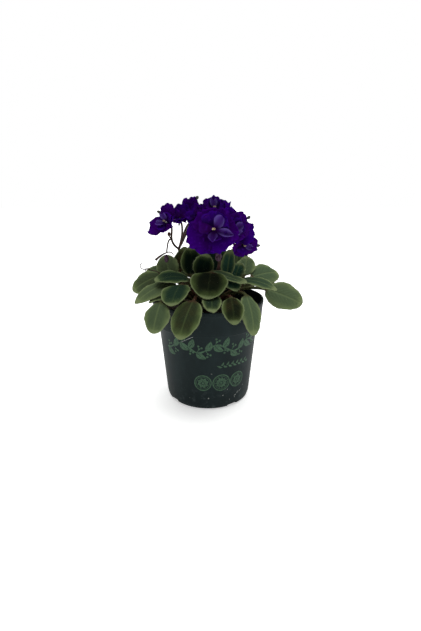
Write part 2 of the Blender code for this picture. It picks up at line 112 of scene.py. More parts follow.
def move_points(ob, places):
    ob.data.vertices.foreach_set("co", (np.asarray(places) * MM).ravel())
    ob.data.update()


def mark(ob, **numbers):
    """Store named numbers, one a vertex, for the materials to read."""
    for name, values in numbers.items():
        layer = ob.data.attributes.new(name, "FLOAT", "POINT")
        each = np.broadcast_to(values, len(layer.data))
        layer.data.foreach_set("value", each.astype(np.float32))


def use_modifier(ob, kind, **settings):
    """Add a modifier, set it up and apply it."""
    made = ob.modifiers.new(kind.title(), kind)
    for key, value in settings.items():
        setattr(made, key, value)
    only(ob)
    bpy.ops.object.modifier_apply(modifier=made.name)


def joined(name, obs):
    only(*obs)
    if len(obs) > 1:
        bpy.ops.object.join()
    obs[0].name = obs[0].data.name = name
    return obs[0]


def finished(ob, finish, replaces=(), smooth=180):
    """Give a piece its finish and the solid parts it stands for."""
    only(ob)
    bpy.ops.object.shade_smooth_by_angle(angle=math.radians(smooth))
    ob.data.materials.clear()
    ob.data.materials.append(finish.material)
    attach(ob, BODY)
    if replaces:
        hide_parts(*replaces)


def unit(v):
    v = np.asarray(v, float)
    return v / np.linalg.norm(v, axis=-1, keepdims=True)


def ease(x, low, high):
    """0 below low, 1 above high, and a smooth step between."""
    x = np.clip((x - low) / (high - low), 0, 1)
    return x * x * (3 - 2 * x)


# %% [markdown]
# ## Writing finishes
# A finish is a node tree. Wrapping a socket in a small class lets its maths be written as an ordinary
# sum. Colours are mixed by a Mix node, because a Math node would turn them grey.

# %% Sockets as numbers
class Value:
    """One output of a node, usable in sums."""

    def __init__(self, finish, socket):
        self.finish, self.socket = finish, socket

    def maths(self, operation, *terms):
        return self.finish.node("Math", {"operation": operation}, dict(enumerate(terms)))

    def __add__(self, other):
        return self.maths("ADD", self, other)

    def __rsub__(self, other):
        return self.maths("SUBTRACT", other, self)

    def __mul__(self, other):
        return self.maths("MULTIPLY", self, other)

    def __pow__(self, other):
        return self.maths("POWER", self, other)

    __radd__ = __add__
    __rmul__ = __mul__

    def sine(self):
        return self.maths("SINE", self)

    def size(self):
        return self.maths("ABSOLUTE", self)

    def over(self, low, high):
        """0 where this is below low, 1 above high, smooth between."""
        sockets = {"Value": self, "From Min": low, "From Max": high}
        return self.finish.node("MapRange", {"interpolation_type": "SMOOTHSTEP"}, sockets)


class Finish:
    """A material in the making."""

    def __init__(self, name, **fixed):
        self.material = bpy.data.materials.new(name)
        self.material.use_nodes = True
        self.tree = self.material.node_tree
        self.shader = self.tree.nodes["Principled BSDF"]
        for key, value in fixed.items():
            self.shader.inputs[key.replace("_", " ")].default_value = value

    def node(self, kind, settings=None, sockets=None, output=0):
        """One node: its settings are set first, then the values or links of its sockets."""
        made = self.tree.nodes.new("ShaderNode" + kind)
        for key, value in (settings or {}).items():
            setattr(made, key, value)
        for key, value in (sockets or {}).items():
            self.feed(made.inputs[key], value)
        return Value(self, made.outputs[output])

    def feed(self, socket, value):
        if isinstance(value, Value):
            self.tree.links.new(value.socket, socket)
        else:
            socket.default_value = value

    def set(self, name, value):
        self.feed(self.shader.inputs[name], value)

    def colour(self, value):
        self.set("Base Color", value)

    def read(self, name):
        """A number stored on the mesh."""
        return self.node("Attribute", {"attribute_name": name}, output="Fac")

    def place(self):
        return self.node("TexCoord", output="Object")

    def axis(self, letter):
        return self.node("SeparateXYZ", None, {0: self.place()}, letter)

    def cloud(self, size_mm, detail=3, roughness=.5, stretch=(1, 1, 1)):
        """Soft noise with lumps of about this size."""
        shape = {"Vector": self.place(), "Scale": tuple(s / (size_mm * MM) for s in stretch)}
        vector = self.node("Mapping", None, shape)
        sockets = {"Vector": vector, "Scale": 1.0, "Detail": detail, "Roughness": roughness}
        return self.node("TexNoise", None, sockets)

    def cells(self, size_mm):
        sockets = {"Vector": self.place(), "Scale": 1 / (size_mm * MM)}
        return self.node("TexVoronoi", None, sockets)

    def mix(self, a, b, factor):
        """Colour a where factor is 0, colour b where it is 1."""
        return self.node("Mix", {"data_type": "RGBA"}, {0: factor, 6: a, 7: b}, 2)

    def relief(self, height, depth_mm):
        made = self.node("Bump", None, {"Height": height, "Distance": depth_mm * MM})
        self.set("Normal", made)


def rgb(r, g, b):
    return (r, g, b, 1.0)


def mottled(name, dark, light, cloud, low, high, **fixed):
    """A finish clouded between two colours."""
    f = Finish(name, **fixed)
    f.colour(f.mix(rgb(*dark), rgb(*light), f.cloud(*cloud).over(low, high)))
    return f


# %% [markdown]
# ## Turned shapes
# The pot and the soil are round. Such a shape is one outline swept round an axis: a disc is added, and
# its rim is extruded and scaled ring by ring up the outline.

# %% Extrude a disc up an outline
def rings_up(name, outline, around):
    """A closed turned shape through (radius, height) rings, starting and ending with a flat disc."""
    radius, height = outline[0]
    ob = added(bpy.ops.mesh.primitive_circle_add, vertices=around, radius=radius * MM,
               fill_type="NGON", location=(0, 0, height * MM))
    ob.name = name
    settle(ob)
    bpy.ops.object.mode_set(mode="EDIT")
    bpy.ops.mesh.select_mode(type="EDGE")
    bpy.ops.mesh.select_all(action="DESELECT")
    bpy.ops.mesh.select_non_manifold()
    for new_radius, new_height in outline[1:]:
        rise, grow = (new_height - height) * MM, new_radius / radius
        bpy.ops.mesh.extrude_edges_move(TRANSFORM_OT_translate={"value": (0, 0, rise)})
        bpy.ops.transform.resize(value=(grow, grow, 1), center_override=(0, 0, 0))
        radius, height = new_radius, new_height
    bpy.ops.mesh.edge_face_add()
    end_edit()
    return ob


# %% [markdown]
# ## The pot
# A 9 cm pot is pressed from thin sheet: a tapering wall, a deeper band under the rim for stacking, a
# rolled lip, a rounded foot and notches that let water out. The outline carries all but the notches,
# which four bevelled blocks cut away. A Bevel modifier then softens the corners.

# %% Pot sizes, in millimetres
RIM_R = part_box("pot")[1].x / MM
POT_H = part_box("pot")[1].z / MM
BAND_Z = 65.0
STEP_R = 40.5
BASE_R = 34.9
WALL = 1.1
FOOT_Z = 4.0
NOTCH_TURN = -54.0
NOTCHES = 4
NOTCH_BLOCK = (9, 10, 6.4)      # only its upper half is in the pot
NOTCH_ROUND, EDGE_ROUND = .9, .16
POT_AROUND = 144
SLOPE = (STEP_R - BASE_R) / (BAND_Z - FOOT_Z)
print("pot", round(RIM_R * 2, 1), "mm across,", round(POT_H, 1), "mm high")


def wall_radius(height):
    """Outside radius of the tapering wall."""
    return BASE_R + SLOPE * (height - FOOT_Z)


# %% Outline and foot
foot = [(24, .5), (24.6, 0), (BASE_R - 4, 0), (BASE_R - 2.3, .35), (BASE_R - .8, 1.7),
        (BASE_R - .1, FOOT_Z)]
wall = [(wall_radius(z), z) for z in (7, 20, 35, 50, BAND_Z - .9)]
band = [(STEP_R + .1, BAND_Z - .5), (RIM_R - 1.95, BAND_Z), (RIM_R - 1.5, BAND_Z + .5),
        (RIM_R - 1, 71), (RIM_R - .55, 78), (RIM_R - .25, POT_H - 3.4), (RIM_R, POT_H - 3),
        (RIM_R, POT_H - .5)]
lip = [(RIM_R - .3, POT_H), (RIM_R - WALL, POT_H), (RIM_R - WALL - .35, POT_H - .5)]
inside = [(RIM_R - WALL - 1.3, BAND_Z + 1.6), (wall_radius(BAND_Z) - WALL, BAND_Z - .4),
          (wall_radius(35) - WALL, 35), (BASE_R - WALL, 5), (BASE_R - WALL - .7, 2), (BASE_R - 4, 1.5)]
pot = rings_up("pot_wall", foot + wall + band + lip + inside, POT_AROUND)

# %% Drain notches
cutters = []
for k in range(NOTCHES):
    turn = math.radians(NOTCH_TURN + 360 / NOTCHES * k)
    reach = (BASE_R + .5) * MM
    cutter = added(bpy.ops.mesh.primitive_cube_add, size=1, rotation=(0, 0, turn),
                   location=(reach * math.cos(turn), reach * math.sin(turn), 0))
    cutter.scale = [side * MM for side in NOTCH_BLOCK]
    settle(cutter)
    use_modifier(cutter, "BEVEL", width=NOTCH_ROUND * MM, segments=3)
    cutters.append(cutter)
for cutter in cutters:
    use_modifier(pot, "BOOLEAN", operation="DIFFERENCE", solver="EXACT", object=cutter)
    bpy.data.objects.remove(cutter)
use_modifier(pot, "BEVEL", width=EDGE_ROUND * MM, segments=2, limit_method="ANGLE",
             angle_limit=math.radians(24))
print("pot wall", len(pot.data.polygons), "faces")

# %% [markdown]
# ### Slate plastic
# Recycled plastic is a dark blue grey, faintly cloudy, with a dusting of dried water salts near the
# foot and a dull, low shine.

# %% Slate plastic
def slate_plastic():
    f = Finish("slate_plastic", Specular_IOR_Level=.09)
    clouds = f.cloud(16, 4, .6, stretch=(1, 1, .5))
    colour = f.mix(rgb(.0052, .0112, .0118), rgb(.0092, .0176, .0186), clouds.over(.35, .75))
    height = f.axis("Z")
    dust = f.cloud(5, 5, .7).over(.5, .74) * (1 - height.over(.002, .03))
    specks = f.cloud(.9, 1).over(.7, .74) * f.cloud(9).over(.5, .6)
    colour = f.mix(colour, rgb(.12, .15, .15), dust * .3 + specks * .2)
    f.colour(colour)
    f.set("Roughness", .5 + .1 * clouds + dust * .2)
    f.relief(f.cloud(.55, 3) * .3 + f.cloud(7, 2), .03)
    return f


slate = slate_plastic()
finished(pot, slate, ["pot"], smooth=32)

# %% [markdown]
# ## Printed decoration
# The pot has a one-colour print in leaf green ink: a trailing vine with berries over a twig and three
# round medallions. Every mark is one flat ribbon whose width changes along a path, laid out flat and
# then wrapped round the wall, a hair's breadth proud of it.

# %% One ribbon for every mark
PRINT_R = wall_radius(37)
INK_LIFT = .07
INK_THICK = .05


def ribbon(path, widths):
    """A flat strip along a path of (u, v) points, from a grid of the same length."""
    path = np.asarray(path, float)
    ob, flat = flat_grid(len(path) - 1, 2)
    along = np.rint((flat[:, 0] + 1) / 2 * (len(path) - 1)).astype(int)
    slope = unit(np.gradient(path, axis=0))
    side = np.stack([-slope[:, 1], slope[:, 0]], axis=1)
    half = np.broadcast_to(widths, len(path))[along] / 2
    flat[:, :2] = path[along] + side[along] * (flat[:, 1] * half)[:, None]
    move_points(ob, flat)
    return ob


def polar(centre, radius, degrees):
    turn = np.radians(degrees)
    way = np.stack([np.cos(turn), np.sin(turn)], axis=-1)
    return np.array(centre) + way * np.asarray(radius)[..., None]


def ring(centre, radius, width):
    return ribbon(polar(centre, radius, np.linspace(0, 360, 44)), width)


def dot(centre, radius):
    x = np.linspace(-1, 1, 9)
    path = np.array(centre) + np.stack([x * radius, 0 * x], axis=1)
    return ribbon(path, 2 * radius * np.sqrt(1 - .98 * x * x))


def leaf_mark(foot, angle, length, width, vein=0):
    """A pointed leaf growing from a point; with a vein it is two halves and bare wall between."""
    t = np.linspace(0, 1, 12)
    middle = polar(foot, t * length, angle + 28 * (t - .5))
    half = width / 2 * np.sin(np.pi * t**.8)
    if not vein:
        return [ribbon(middle, 2 * half + .06)]
    aside = polar((0, 0), vein / 2 + half / 2, angle + 90)
    return [ribbon(middle + way * aside, half + .06) for way in (1, -1)]


def wrapped(ob):
    """Wrap a flat drawing round the pot and give it a little thickness."""
    flat = points_of(ob)
    radius, angle = wall_radius(flat[:, 1]) + INK_LIFT, flat[:, 0] / PRINT_R
    move_points(ob, np.stack([radius * np.sin(angle), -radius * np.cos(angle), flat[:, 1]], axis=1))
    use_modifier(ob, "SOLIDIFY", thickness=INK_THICK * MM, offset=0)
    print(ob.name, len(ob.data.polygons), "faces")
    return ob


# %% Draw the vine
VINE_V, VINE_RISE, VINE_WAVE = 54.5, 3.2, 27.0
VINE_FROM, VINE_TO = -35.0, 43.0


def vine_height(u):
    return VINE_V + VINE_RISE * np.sin(2 * np.pi * u / VINE_WAVE)


u = np.linspace(VINE_FROM, VINE_TO, 110)
marks = [ribbon(np.stack([u, vine_height(u)], axis=1), 1.25 + .3 * np.sin(u * .9))]
for k, at in enumerate(np.arange(VINE_FROM + 1.5, VINE_TO - 3, 6.4)):
    way = 1 if k % 2 else -1
    foot = (at, vine_height(at))
    marks += leaf_mark(foot, way * 50, 8.4, 4.4, vein=.35)
    berries = polar(foot, (3.4, 5.2, 5.4), np.array((-62, -48, -78)) * way)
    marks += [ribbon([foot, berries[0]], .5)] + [dot(berry, .85) for berry in berries]
print(len(marks), "marks for the vine")

# %% Draw the twig and the medallions
TWIG_V = 39.6
marks.append(ribbon([(7, TWIG_V), (21, TWIG_V + .5), (36, TWIG_V)], .7))
for k, at in enumerate(np.arange(8, 34.5, 2.1)):
    marks += leaf_mark((at, TWIG_V + .2), 40 if k % 2 else -40, 3.6, 1.6)


def medallion(centre, radius, petals):
    """Two rings round a rosette."""
    drawn = [ring(centre, radius, .95), ring(centre, radius * .8, .4), dot(centre, radius * .15)]
    for angle in np.arange(petals) * 360 / petals + 12:
        foot = polar(centre, radius * .2, angle)
        drawn += leaf_mark(foot, angle, radius * .52, radius * 2.7 / petals, vein=.25)
    return drawn


for centre, radius, petals in (((-4, 25), 6.6, 8), ((10.9, 24.8), 6.9, 11), ((25.3, 25), 6.3, 6)):
    marks += medallion(centre, radius, petals)
ink_print = wrapped(joined("pot_print", marks))

# %% Scuffs and a dry strand
# where each mark starts, its bearing, length and width
SCUFFS = ((0, 10.6, 40, 1.3, .8), (12.6, 12.4, 80, .9, .7), (23.4, 9.8, 20, 3.2, .5),
          (26.4, 11.4, 40, 2.4, .6), (28.6, 12.6, 10, 3.4, .4), (24.4, 8.2, 100, 1.0, .6),
          (19, 7.4, 60, .9, .5), (3.5, 33, 160, 1.5, .35), (16.4, 17.6, 20, .6, .5),
          (-16, 9.8, 70, .7, .5), (33, 16.5, 30, 1.2, .4))
STRAND = [(-21.6, 57.1), (-19.6, 58.6), (-17.3, 60.0), (-14.6, 61.6), (-12.4, 63.0), (-10.4, 64.0)]
scuffs = [ribbon(STRAND, .3)]
for u, v, angle, length, width in SCUFFS:
    scuffs += leaf_mark((u, v), angle, length, width)
scuffs = wrapped(joined("wall_scuffs", scuffs))


# %% Green ink and pale scuffs
green_ink = mottled("green_ink", (.026, .056, .034), (.046, .106, .056), (1.3, 5, .7), .38, .62,
                    Roughness=.6, Specular_IOR_Level=.2)
pale_scuff = mottled("pale_scuff", (.07, .08, .07), (.34, .36, .34), (.8, 4, .7), .3, .6,
                     Roughness=.8, Specular_IOR_Level=.2)
finished(ink_print, green_ink, smooth=60)
finished(scuffs, pale_scuff, smooth=60)

# %% [markdown]
# ## The potting mix
# Peat mix is nearly black when moist, loose and crumbly. Its body is a turned shape whose top is
# roughened by noise, and loose crumbs, small broken balls, lie over it.

# %% Soil body
SOIL_Z = 73.0
SOIL_AROUND = 120
CROWN_HOLE = 6.3
soil_side = [(31, 1.8), (BASE_R - 2.3, 2.1), (BASE_R - 1.6, 5.2), (wall_radius(35) - 1.6, 35),
             (wall_radius(64.2) - 1.6, 64.2), (RIM_R - 2.8, BAND_Z + 2.9), (RIM_R - 2.6, SOIL_Z - .8)]
soil_top = [(r, SOIL_Z) for r in np.linspace(41.6, 7.2, 34)]
hole = [(CROWN_HOLE, SOIL_Z - .6), (CROWN_HOLE, 57.7)]
soil = rings_up("potting_mix", soil_side + soil_top + hole, SOIL_AROUND)
grain = points_of(soil)
on_top = (grain[:, 2] > SOIL_Z - .3) & (np.hypot(grain[:, 0], grain[:, 1]) < 41.7)
for i in np.flatnonzero(on_top):
    lumps = noise.fractal(Vector(grain[i]) / 4.5, .7, 2.2, 5)
    grain[i, 2] += float(np.clip(1.1 * lumps, -1.0, 1.2))
move_points(soil, grain)
print("potting mix", len(soil.data.polygons), "faces")

# %% Crumbs
draw = random.Random(11)
CRUMBS = 420
CRUMB_AXES = [[1.2], [.9], [.7]]


def scatter(name, template, places):
    """Copy a small template mesh to many frames: a place, three axes already scaled."""
    shape = points_of(template)
    faces = np.array([list(p.vertices) for p in template.data.polygons])
    moved = [at + shape @ np.stack(axes) for at, axes in places]
    count = len(shape)
    all_faces = np.concatenate([faces + k * count for k in range(len(places))])
    mesh = bpy.data.meshes.new(name)
    mesh.from_pydata((np.concatenate(moved) * MM).tolist(), [], all_faces.tolist())
    ob = bpy.data.objects.new(name, mesh)
    bpy.context.scene.collection.objects.link(ob)
    bpy.data.objects.remove(template)
    return ob


crumb = added(bpy.ops.mesh.primitive_ico_sphere_add, subdivisions=2, radius=MM)
lumpy = points_of(crumb)
lumpy *= np.array([1 + .35 * noise.noise(Vector(p) * 1.7) for p in lumpy])[:, None]
move_points(crumb, lumpy)
places = []
for _ in range(CRUMBS):
    r, a = 9 + 31.5 * math.sqrt(draw.random()), draw.uniform(0, 2 * math.pi)
    size = .35 + 1.0 * draw.random()**2.5
    aim = Vector([draw.gauss(0, 1) for _ in range(3)]).normalized()
    turn = np.array(aim.to_track_quat("Z", "Y").to_matrix())
    at = np.array((r * math.cos(a), r * math.sin(a), SOIL_Z + size * .45))
    places.append((at, turn * size * np.array(CRUMB_AXES)))
crumbs = scatter("soil_crumbs", crumb, places)
print(CRUMBS, "crumbs")


# %% Peat finish
def peat():
    f = Finish("peat", Roughness=.95, Specular_IOR_Level=.2)
    tone = f.mix(rgb(.008, .006, .005), rgb(.045, .03, .02), f.cloud(1.4, 6, .75).over(.35, .7))
    fleck = f.cloud(1.1, 2, .4, stretch=(1, .3, 1)).over(.68, .72)
    f.colour(f.mix(tone, rgb(.16, .12, .08), fleck))
    f.relief(f.cloud(.7, 5, .8), .5)
    return f


dark_peat = peat()
finished(soil, dark_peat, ["soil"])
finished(crumbs, dark_peat)

# %% [markdown]
# ## Leaves
# A leaf is one fleshy piece: a round hairy petiole that flattens into an oval blade, cupped and quilted
# between its veins. The solid part is a chain of eight-point rings. Its measures are read back from
# those rings, and a sphere with many more rings is then moved, ring by ring, onto a finer leaf of the
# same form.

# %% How the solid leaves are built
PETIOLE_RINGS = 4
BLADE_T = np.array([.03, .12, .27, .45, .63, .80, .94])
UP = np.array((0, 0, 1.0))
SHOWN = np.array((0, -.3, 1.0))     # an upright leaf turns its upper side to the front


def oval(t, q=.88, k=1.8):
    """Width of a blade along its length, rounder towards the tip."""
    return (1 - np.abs(2 * np.clip(t, 0, 1)**q - 1)**k)**(1 / k)


def rings_of(node):
    """The rings of a solid leaf from root to tip, and its tip point, in millimetres."""
    bm = bmesh.new()
    bm.from_mesh(nodes[node].data)
    bmesh.ops.remove_doubles(bm, verts=bm.verts, dist=.00001)
    pole = next(v for v in bm.verts if {len(e.other_vert(v).link_edges) for e in v.link_edges} == {5})
    rings, seen, reach = [], {pole}, {pole}
    while reach:
        reach = {e.other_vert(v) for v in reach for e in v.link_edges} - seen
        seen |= reach
        rings.append(np.array([v.co for v in reach]).reshape(-1, 3) / MM)
    tip = np.array(pole.co) / MM
    bm.free()
    return rings[-2::-1], tip


class Leaf:
    """The measures of one leaf, taken from its solid part."""

    def __init__(self, node):
        rings, self.tip = rings_of(node)
        blade = rings[PETIOLE_RINGS:]
        ends, middles = [], []
        for ring in blade:
            gaps = np.linalg.norm(ring[:, None] - ring[None], axis=2)
            a, b = np.unravel_index(gaps.argmax(), gaps.shape)
            across = unit(ring[a] - ring[b])
            aside = np.abs((ring - ring.mean(0)) @ across)
            middles.append(ring[np.argsort(aside)[:2]].mean(0))
            ends.append((ring[a], ring[b]))
        middles = np.array(middles)
        terms = np.stack([BLADE_T - 1, 4 * BLADE_T * (1 - BLADE_T)], axis=1)
        (self.run, self.bow), *_ = np.linalg.lstsq(terms, middles - self.tip, rcond=None)
        self.base = self.tip - self.run
        self.length = np.linalg.norm(self.run)
        self.along = self.run / self.length
        widest = int(np.argmax([np.linalg.norm(a - b) for a, b in ends]))
        across = ends[widest][0] - ends[widest][1]
        self.side = unit(across - (across @ self.along) * self.along)
        self.normal = np.cross(self.side, self.along)
        if self.normal @ SHOWN < 0:
            self.side, self.normal = -self.side, -self.normal
        spans = [np.linalg.norm(a - b) for a, b in ends[1:]]
        self.width = float(np.mean(np.array(spans) / oval(BLADE_T[1:])))
        lifts = [((a + b) / 2 - m) @ self.normal / (np.linalg.norm(a - b) / 2)
                 for (a, b), m in zip(ends[1:-1], middles[1:-1])]
        self.cup = float(np.mean(lifts))
        self.petiole = np.array([ring.mean(0) for ring in rings[:PETIOLE_RINGS]])


leaf_nodes = sorted(n for n in nodes if n.startswith("leaf_"))
leaves = {n: Leaf(n) for n in leaf_nodes}
sample = leaves["leaf_front_3"]
print("one leaf of", len(leaves), "is", round(sample.length, 1), "by", round(sample.width, 1), "mm")

# %% [markdown]
# ### A finer leaf
# Three things make the blade read as a violet's: the quilting, where the flesh swells between side
# veins that sweep towards the tip; the groove along the midrib, with a rib under it; and the soft
# scalloped edge. Each is a small offset in millimetres, so a large leaf has more veins and not larger
# ones.

# %% Leaf sizes
LEAF_RINGS = 92
LEAF_AROUND = 60
PETIOLE_SHARE = .2
PETIOLE_R = (1.45, 1.15)
BLADE_HALF = .62
VEIN_STEP = 3.5
QUILT = .2
SCALLOP = .11
SCALLOP_WAVES = 1.4
GROOVE, RIB, MIDRIB_HALF = .28, .55, .75
ROOT_CLOSE = .006       # the share of the length over which the root end closes
EVEN_OUT = .28          # moves a ring's points from the edges towards the middle of the blade
OFF_BLADE = 6           # the petiole counts as this many millimetres from the edge
SINK = 1.5              # how far a petiole's foot is moved into the short stem


def smooth_path(knots, where):
    """A smooth line through the knots, read at shares of its length."""
    knots = np.asarray(knots, float)
    steps = np.linalg.norm(np.diff(knots, axis=0), axis=1)
    at = np.concatenate([[0], np.cumsum(steps)]) / steps.sum()
    slope = np.gradient(knots, at, axis=0)
    k = np.clip(np.searchsorted(at, where, side="right") - 1, 0, len(at) - 2)
    span = (at[k + 1] - at[k])[:, None]
    f = (where - at[k])[:, None] / span
    return ((1 + 2 * f) * (1 - f)**2 * knots[k] + f * (1 - f)**2 * span * slope[k]
            + f * f * (3 - 2 * f) * knots[k + 1] + f * f * (f - 1) * span * slope[k + 1])


def blade_line(leaf, t):
    t = np.asarray(t)[:, None]
    return leaf.base + leaf.run * t + leaf.bow * 4 * t * (1 - t)


def spine(leaf, share):
    """Centre points of the rings, first along the petiole and then along the blade."""
    outward = unit(leaf.petiole[0] * (1, 1, 0))
    root = leaf.petiole[0] - outward * SINK
    knots = [root, *leaf.petiole[:3], leaf.base, blade_line(leaf, [.12])[0]]
    steps = np.linalg.norm(np.diff(knots, axis=0), axis=1)
    stop = 1 - steps[-1] / steps.sum()
    stalk = smooth_path(knots, np.clip(share / PETIOLE_SHARE, 0, 1) * stop)
    x = np.clip((share - PETIOLE_SHARE) / (1 - PETIOLE_SHARE), 0, 1)
    t = x - .55 * np.sin(2 * np.pi * x) / (2 * np.pi)
    centres = np.where((share < PETIOLE_SHARE)[:, None], stalk, blade_line(leaf, t))
    return centres, t


def ring_frames(leaf):
    """For every ring: its centre, its sideways and upward directions, and its place on the blade."""
    centres, t = spine(leaf, np.arange(LEAF_RINGS + 1) / LEAF_RINGS)
    forward = unit(np.gradient(centres, axis=0))
    side = unit(leaf.side - (forward @ leaf.side)[:, None] * forward)
    return centres, side, np.cross(side, forward), t


def petiole_radius(share, t):
    """Tapers along the petiole, closes at the root and fades into the blade."""
    stalk = np.clip(share / PETIOLE_SHARE, 0, 1)
    taper = PETIOLE_R[0] + (PETIOLE_R[1] - PETIOLE_R[0]) * stalk
    return taper * np.sqrt(np.clip(share / ROOT_CLOSE, 0, 1)) * (1 - ease(t, 0, .3))


def relief_of(leaf, number, s, t, upper, x, width, phase, round_r):
    """Height of each point over its ring's middle; x is its distance from the midrib."""
    blade = ease(t, 0, .1)
    half = BLADE_HALF * (1.25 - .55 * t) * np.sqrt(np.clip((1 - t) / .03, 0, 1))
    thick = round_r * (1 - blade) + half * blade
    height = thick * np.sign(upper) * np.abs(upper)**(1 - .35 * blade)
    quilted = np.sin(np.pi * phase)**2
    inner = blade * ease(x, .5, 2.2) * (1 - np.abs(s)**5) * (1 - ease(t, .9, 1))
    height += inner * QUILT * (quilted - .35) * np.where(upper > 0, 1.2, -.3)
    midrib = blade * np.where(upper > 0, -GROOVE, -RIB * (1.1 - t))
    height += midrib * np.exp(-(x / MIDRIB_HALF)**2) * (1 - ease(t, .85, 1))
    wave = .45 * np.sin(11 * t + 1.4 * s + leaf.width) + .22 * np.sin(23 * t + 2 * s + number)
    return height + blade * (leaf.cup * width * s * s + wave * s**4)


def leaf_skin(node, number):
    """A sphere of many rings, moved onto the leaf: s runs from edge to edge, t from base to tip."""
    leaf = leaves[node]
    ob, ball = round_ball(LEAF_AROUND, LEAF_RINGS)
    ring = np.rint(np.arccos(np.clip(ball[:, 2], -1, 1)) / np.pi * LEAF_RINGS).astype(int)
    turn = np.arctan2(ball[:, 1], ball[:, 0])
    turn = turn + EVEN_OUT * np.sin(2 * turn)
    s, upper = np.cos(turn), np.sin(turn)
    centres, side, up, t_ring = ring_frames(leaf)
    t = t_ring[ring]
    round_r = petiole_radius(ring / LEAF_RINGS, t)
    width = leaf.width / 2 * oval(t)
    waves = np.sin(t * leaf.length * SCALLOP_WAVES + 3 * number)
    teeth = 1 + SCALLOP * np.abs(s)**6 * waves / np.maximum(width, 4)
    reach = np.hypot(width * teeth, round_r)
    x = np.abs(s) * reach
    phase = (t * leaf.length - .85 * x - .03 * x * x) / VEIN_STEP + .5 * (s > 0) + .37 * number
    height = relief_of(leaf, number, s, t, upper, x, width, phase, round_r)
    move_points(ob, centres[ring] + side[ring] * (reach * s)[:, None] + up[ring] * height[:, None])
    inward = np.minimum(1 - np.abs(s), 1.6 * (1 - t))
    blade = ease(t, 0, .1)
    rim_mm = np.where(blade > .5, inward * np.maximum(width, leaf.width / 4), OFF_BLADE)
    mark(ob, rim_mm=rim_mm, inward=inward, rib_mm=x, phase=phase, upper=(upper + 1) / 2, blade=blade)
    return joined(node.replace("leaf_", "leaf_blade_"), [ob]), s, t


# %% How light, how blue and how red each leaf is, from 0 to 1. Light is painted light and shade as well as the leaf's own tone, and blue is partly painted sheen
TONE_LIGHT_AND_SHADE = {"inner_4": (0, .1, 0), "inner_5": (0, .1, 0), "front_4": (.03, 0, .1),
         "front_1": (.12, .33, 0), "left_4": (.1, .28, 0), "front_6": (.08, 0, .5),
         "front_3": (.27, 0, .4), "front_5": (.16, .2, .1), "left_3": (.9, 0, .15),
         "inner_1": (.45, 1, 0), "inner_2": (.35, 1, 0), "inner_6": (.1, 0, 1), "left_1": (.6, 0, .4),
         "front_2": (.8, .1, 0), "left_2": (.8, 0, 0), "front_7": (1, .2, 0), "right_1": (1, .1, 0),
         "right_2": (.95, .3, 0), "right_3": (.5, .4, 0), "right_4": (.6, .3, 0), "inner_3": (1, .2, 0),
         "front_8": (.15, .8, 0), "back_8": (0, .2, 0), "left_5": (.2, 0, 0)}
PLAIN_TONE = (.4, .1, .1)
blades = {}
for number, node in enumerate(leaf_nodes):
    ob, s, t = leaf_skin(node, number)
    light, blue, red = TONE_LIGHT_AND_SHADE.get(node.removeprefix("leaf_"), PLAIN_TONE)
    mark(ob, light=light, blue=blue, red=red)
    blades[node] = (ob, s, t)
print(len(blades), "leaves of", len(ob.data.polygons), "faces")

# %% [markdown]
# ### Leaf finish
# The upper side is a dark green that turns yellow green towards the edge and along the midrib, and its
# darker middle is partly painted shade. How light a leaf is paints its light and shade along with its
# own tone: leaves in the middle, in the shade under the blooms, are painted nearly black, and those
# that face the light paler.
# Some have a blue cast, which is partly painted sheen, and some a brown one. The underside is pale, and
# flushed red on some leaves.

# %% Leaf green
def leaf_green():
    f = Finish("leaf_green", Roughness=.7, Specular_IOR_Level=.01)
    light, blue, red = f.read("light"), f.read("blue"), f.read("red")
    rim, inward, rib = f.read("rim_mm"), f.read("inward"), f.read("rib_mm")
    upper, blade = f.read("upper"), f.read("blade")
    patches = f.cloud(8, 3).over(.3, .7)
    # painted light and shade: a low light number darkens leaves in the shade under the blooms nearly to
    # black, and a high one paints leaves facing the light paler, along with each leaf's own tone
    dark = f.mix(rgb(.0012, .0028, .0012), rgb(.080, .112, .055), light)
    # the blue cast is partly the leaf's own blue green and partly painted sheen
    dark = f.mix(dark, rgb(.015, .055, .038), blue * .85)
    dark = f.mix(dark, rgb(.040, .032, .011), red * patches * .8)
    edge_colour = f.mix(rgb(.094, .138, .042), rgb(.154, .202, .086), light)
    # the darker middle of each blade, away from the paler border, is partly painted shade
    border = (1 - inward.over(0, .62))**1.5 * (.45 + .6 * patches)
    colour = f.mix(dark, edge_colour, border * (.65 + .4 * light.over(0, .3)))
    veins = (f.read("phase") * math.pi).sine().size()
    vein = (1 - veins.over(0, .3)) * rib.over(.4, 2) * .14
    midrib = (1 - rib.over(.1, 1.1)) * .4
    colour = f.mix(colour, edge_colour, (vein + midrib) * light.over(-.1, .5))
    pale_rim = (1 - rim.over(.15, 1.5)) * (.5 + .4 * light.over(-.1, .2))
    colour = f.mix(colour, rgb(.175, .215, .10), pale_rim)
    colour = f.mix(colour, edge_colour, f.cloud(.9, 4, .6).over(.55, .8) * .25 * light.over(0, .3))
    under = f.mix(rgb(.075, .09, .05), rgb(.07, .025, .02), red)
    colour = f.mix(under, colour, upper.over(.42, .5))
    petiole = f.mix(rgb(.05, .055, .022), rgb(.06, .025, .018), f.cloud(8).over(.4, .65))
    f.colour(f.mix(petiole, colour, blade))
    f.relief(f.cells(.6) * .5 + f.cloud(.4, 2) * .5, .1)
    return f


green = leaf_green()
for node, (ob, *_) in blades.items():
    finished(ob, green, [node])

# %% [markdown]
# ### Leaf hairs
# Soft pale hairs stand on both sides and make a light line round every leaf. Each is a three-sided
# needle, copied to points picked from the leaf itself. All lean a little towards the tip.

